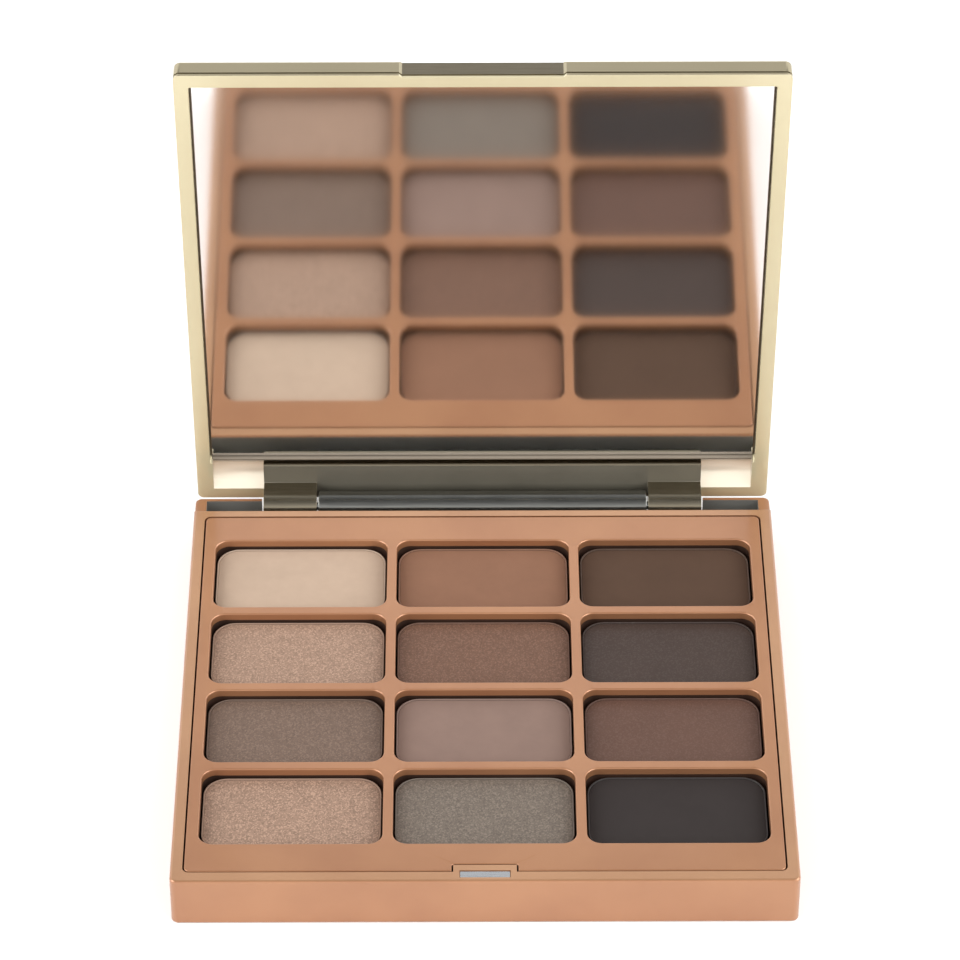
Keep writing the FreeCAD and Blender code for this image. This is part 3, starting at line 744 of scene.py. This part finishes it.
def make_mirror(material, border):
    """The glass plate, with a narrow dark border at its left and right edges, painted shade of the gap
    beside the glass.
    """
    low, high = shut_corners("mirror")
    shape = bmesh.new()
    profile = [(0.0, high.z), (0.0, low.z + MIRROR_EDGE), (MIRROR_EDGE, low.z)]
    loft(shape, rectangle(low, high, MIRROR_CORNER), profile, start_cap=True, end_cap=True)
    inner = high.x - MIRROR_SHADE_BAND
    for place in (-inner, inner):
        parts = shape.verts[:] + shape.edges[:] + shape.faces[:]
        bmesh.ops.bisect_plane(shape, geom=parts, plane_co=(place, 0, 0), plane_no=(1, 0, 0))
    bmesh.ops.transform(shape, matrix=LID_OPEN, verts=shape.verts)

    # Faces within that band of the left and right edges take the painted shade.
    def in_painted_border(centre, normal):
        return int(abs(centre.x) > inner)

    finish_shape(shape, "mirror_glass", "lid", "mirror", [material, border], in_painted_border)


def lid_frame_part(centre, normal):
    """Material number on the lid's inner frame.

    0 outer edge, 1 rim in painted light, 2 hinge pad in painted reflection, 3 knuckles and groove in olive
    painted shade, 4 corner hollows in painted reflection, 5 recess under the mirror in painted shade.
    """
    place = LID_OPEN.inverted() @ centre
    if abs(place.x) < PAD_HALF and place.y > GROOVE_FRONT:
        at_knuckle = place.y > KNUCKLE_FRONT and place.z < PAD_LEVEL and normal.y > -SQUARELY
        return 3 if at_knuckle or place.y < GROOVE_BACK else 2
    if abs(place.x) < HOLLOW_HALF and place.z > FACE_LEVEL and place.y > GROOVE_FRONT:
        return 4
    if abs(place.x) < PAD_HALF and RECESS_FRONT < place.y < RIM_BACK:
        return 5
    outside = abs(place.x) > RIM_OUTSIDE or place.y < RIM_FRONT or place.y > RIM_BACK
    return 0 if outside else 1


def lid_cover_part(centre, normal):
    """Material number on the lid shell: 1, the olive painted shade, in the finger notch of the front edge,
    otherwise 0.
    """
    place = LID_OPEN.inverted() @ centre
    in_notch = abs(place.x) < NOTCH_HALF and NOTCH_WALL < place.y < RECESS_FRONT
    return int(in_notch and normal.z > PARTLY)


# The palette.

make_camera()
make_world()
make_lights()
make_floor()

rose_gold = metallised(
    "rose_gold", srgb(166, 117, 82), srgb(158, 109, 76),
    smooth=0.32, rough=0.40, grain=0.10, metal=0.5, coat=0.6)
# A lighter copy of the rose gold for the up-facing top faces of the base: painted light.
rose_rim_painted_light = metallised(
    "rose_gold_painted_light_rim", srgb(177, 133, 98), srgb(169, 125, 91),
    smooth=0.32, rough=0.40, grain=0.10, metal=0.5, coat=0.6)
# A darker copy of the rose gold for the lower well walls and floors: painted shade.
well_painted_shade = metallised(
    "rose_gold_painted_shade", srgb(74, 52, 42), srgb(62, 44, 36),
    smooth=0.40, rough=0.50, grain=0.10, metal=0.5)
champagne = metallised(
    "champagne_gold", srgb(182, 172, 145), srgb(179, 169, 142),
    smooth=0.17, rough=0.20, grain=0.02, metal=0.9)
# A lighter copy of the champagne plating for the lid's rim: painted light, with a satin coat of its own.
satin_rim_painted_light = metallised(
    "champagne_satin_painted_light", srgb(204, 194, 160), srgb(201, 190, 156),
    smooth=0.20, rough=0.26, grain=0.02, metal=0.4, coat=0.5)
# A pale copy of the champagne plating for the corner hollows: painted reflection of the bright sky.
hollow_painted_reflection = metallised(
    "champagne_painted_reflection_hollow", srgb(228, 217, 197), srgb(224, 212, 191),
    smooth=0.12, rough=0.20, grain=0.03, metal=0.5, coat=0.5)
# A darker copy of the champagne plating for the hinge pad: painted reflection of the barrel.
pad_painted_reflection = metallised(
    "champagne_painted_reflection_pad", srgb(122, 117, 104), srgb(114, 109, 97),
    smooth=0.20, rough=0.26, grain=0.05, metal=0.4, coat=0.3)
# A darker copy of the champagne plating for the recess under the mirror: painted shade.
recess_painted_shade = metallised(
    "champagne_painted_shade_recess", srgb(140, 129, 115), srgb(134, 123, 110),
    smooth=0.20, rough=0.26, grain=0.05, metal=0.5)
# Smoked grey for the hinge barrel: partly its own smoked colour, partly darkened as painted shade for its
# dark reflections.
smoked_with_painted_shade = brushed(
    "smoked_metal", srgb(134, 134, 130), srgb(116, 116, 113),
    smooth=0.14, rough=0.24, along=(160.0, 2600.0, 2600.0))
# A darker olive copy of the champagne plating for the knuckles, groove and finger notch: painted shade and
# reflection.
olive_painted_shade = brushed(
    "olive_painted_shade_metal", srgb(144, 136, 119), srgb(132, 124, 107),
    smooth=0.18, rough=0.26, along=(160.0, 2600.0, 2600.0))
# A grey stand-in for the rose gold inside the hinge trough: painted shade.
trough_painted_shade = metallised(
    "trough_painted_shade_grey", srgb(146, 144, 139), srgb(138, 136, 131),
    smooth=0.35, rough=0.45, grain=0.06, metal=0.5)
steel = brushed(
    "ground_steel", srgb(195, 195, 192), srgb(170, 170, 168),
    smooth=0.16, rough=0.26, along=(300.0, 4000.0, 4000.0))
nickel = brushed(
    "satin_nickel", srgb(186, 190, 196), srgb(160, 164, 171),
    smooth=0.18, rough=0.26, along=(200.0, 5000.0, 5000.0))
# A dark grey band on the mirror's left and right edges: painted shade of the gap beside the glass.
mirror_edge_painted_shade = brushed(
    "mirror_border_painted_shade", srgb(122, 114, 108), srgb(108, 100, 94),
    smooth=0.30, rough=0.45, along=(900.0, 900.0, 900.0))
foam = adhesive_material()

make_case([rose_gold, trough_painted_shade, rose_rim_painted_light])
make_tray(rose_gold, well_painted_shade)
make_plate("base_magnet", "magnet", "base", nickel, radius=0.3 * MM, edge=0.15 * MM)
make_refined("hinge_barrel", "barrel", "base", [smoked_with_painted_shade], width=0.2 * MM)
make_refined("hinge_pin_left", "pin_left", "base", [steel], width=0.1 * MM)
make_refined("hinge_pin_right", "pin_right", "base", [steel], width=0.1 * MM)
make_refined("pan_adhesive_pads", "pan_pads", "base", [foam], width=0.05 * MM)
# The champagne plating and its lighter and darker copies, painted light and shade, in the order of
# lid_frame_part.
lid_plating_and_painted_light = [champagne, satin_rim_painted_light, pad_painted_reflection, olive_painted_shade, hollow_painted_reflection, recess_painted_shade]
make_refined("lid_frame", "lid_inner_frame", "lid", lid_plating_and_painted_light, width=0.12 * MM, choose=lid_frame_part)
make_refined("lid_shell", "lid_cover", "lid", [champagne, olive_painted_shade], width=0.15 * MM, choose=lid_cover_part)
make_refined("mirror_adhesive", "mirror_pad", "lid", [foam], width=0.03 * MM)
make_refined("lid_strike_plate", "strike_plate", "lid", [steel], width=0.1 * MM)
make_mirror(mirror_material(), mirror_edge_painted_shade)

for row in ROWS:
    for column, (shade, colour, shimmer) in zip(COLUMNS, SHADES[row]):
        well = f"{row}_{column}"
        make_cake(well, powder_material("powder_" + shade, colour, shimmer))
        make_pan(well, pan_material("pan_" + shade, colour))
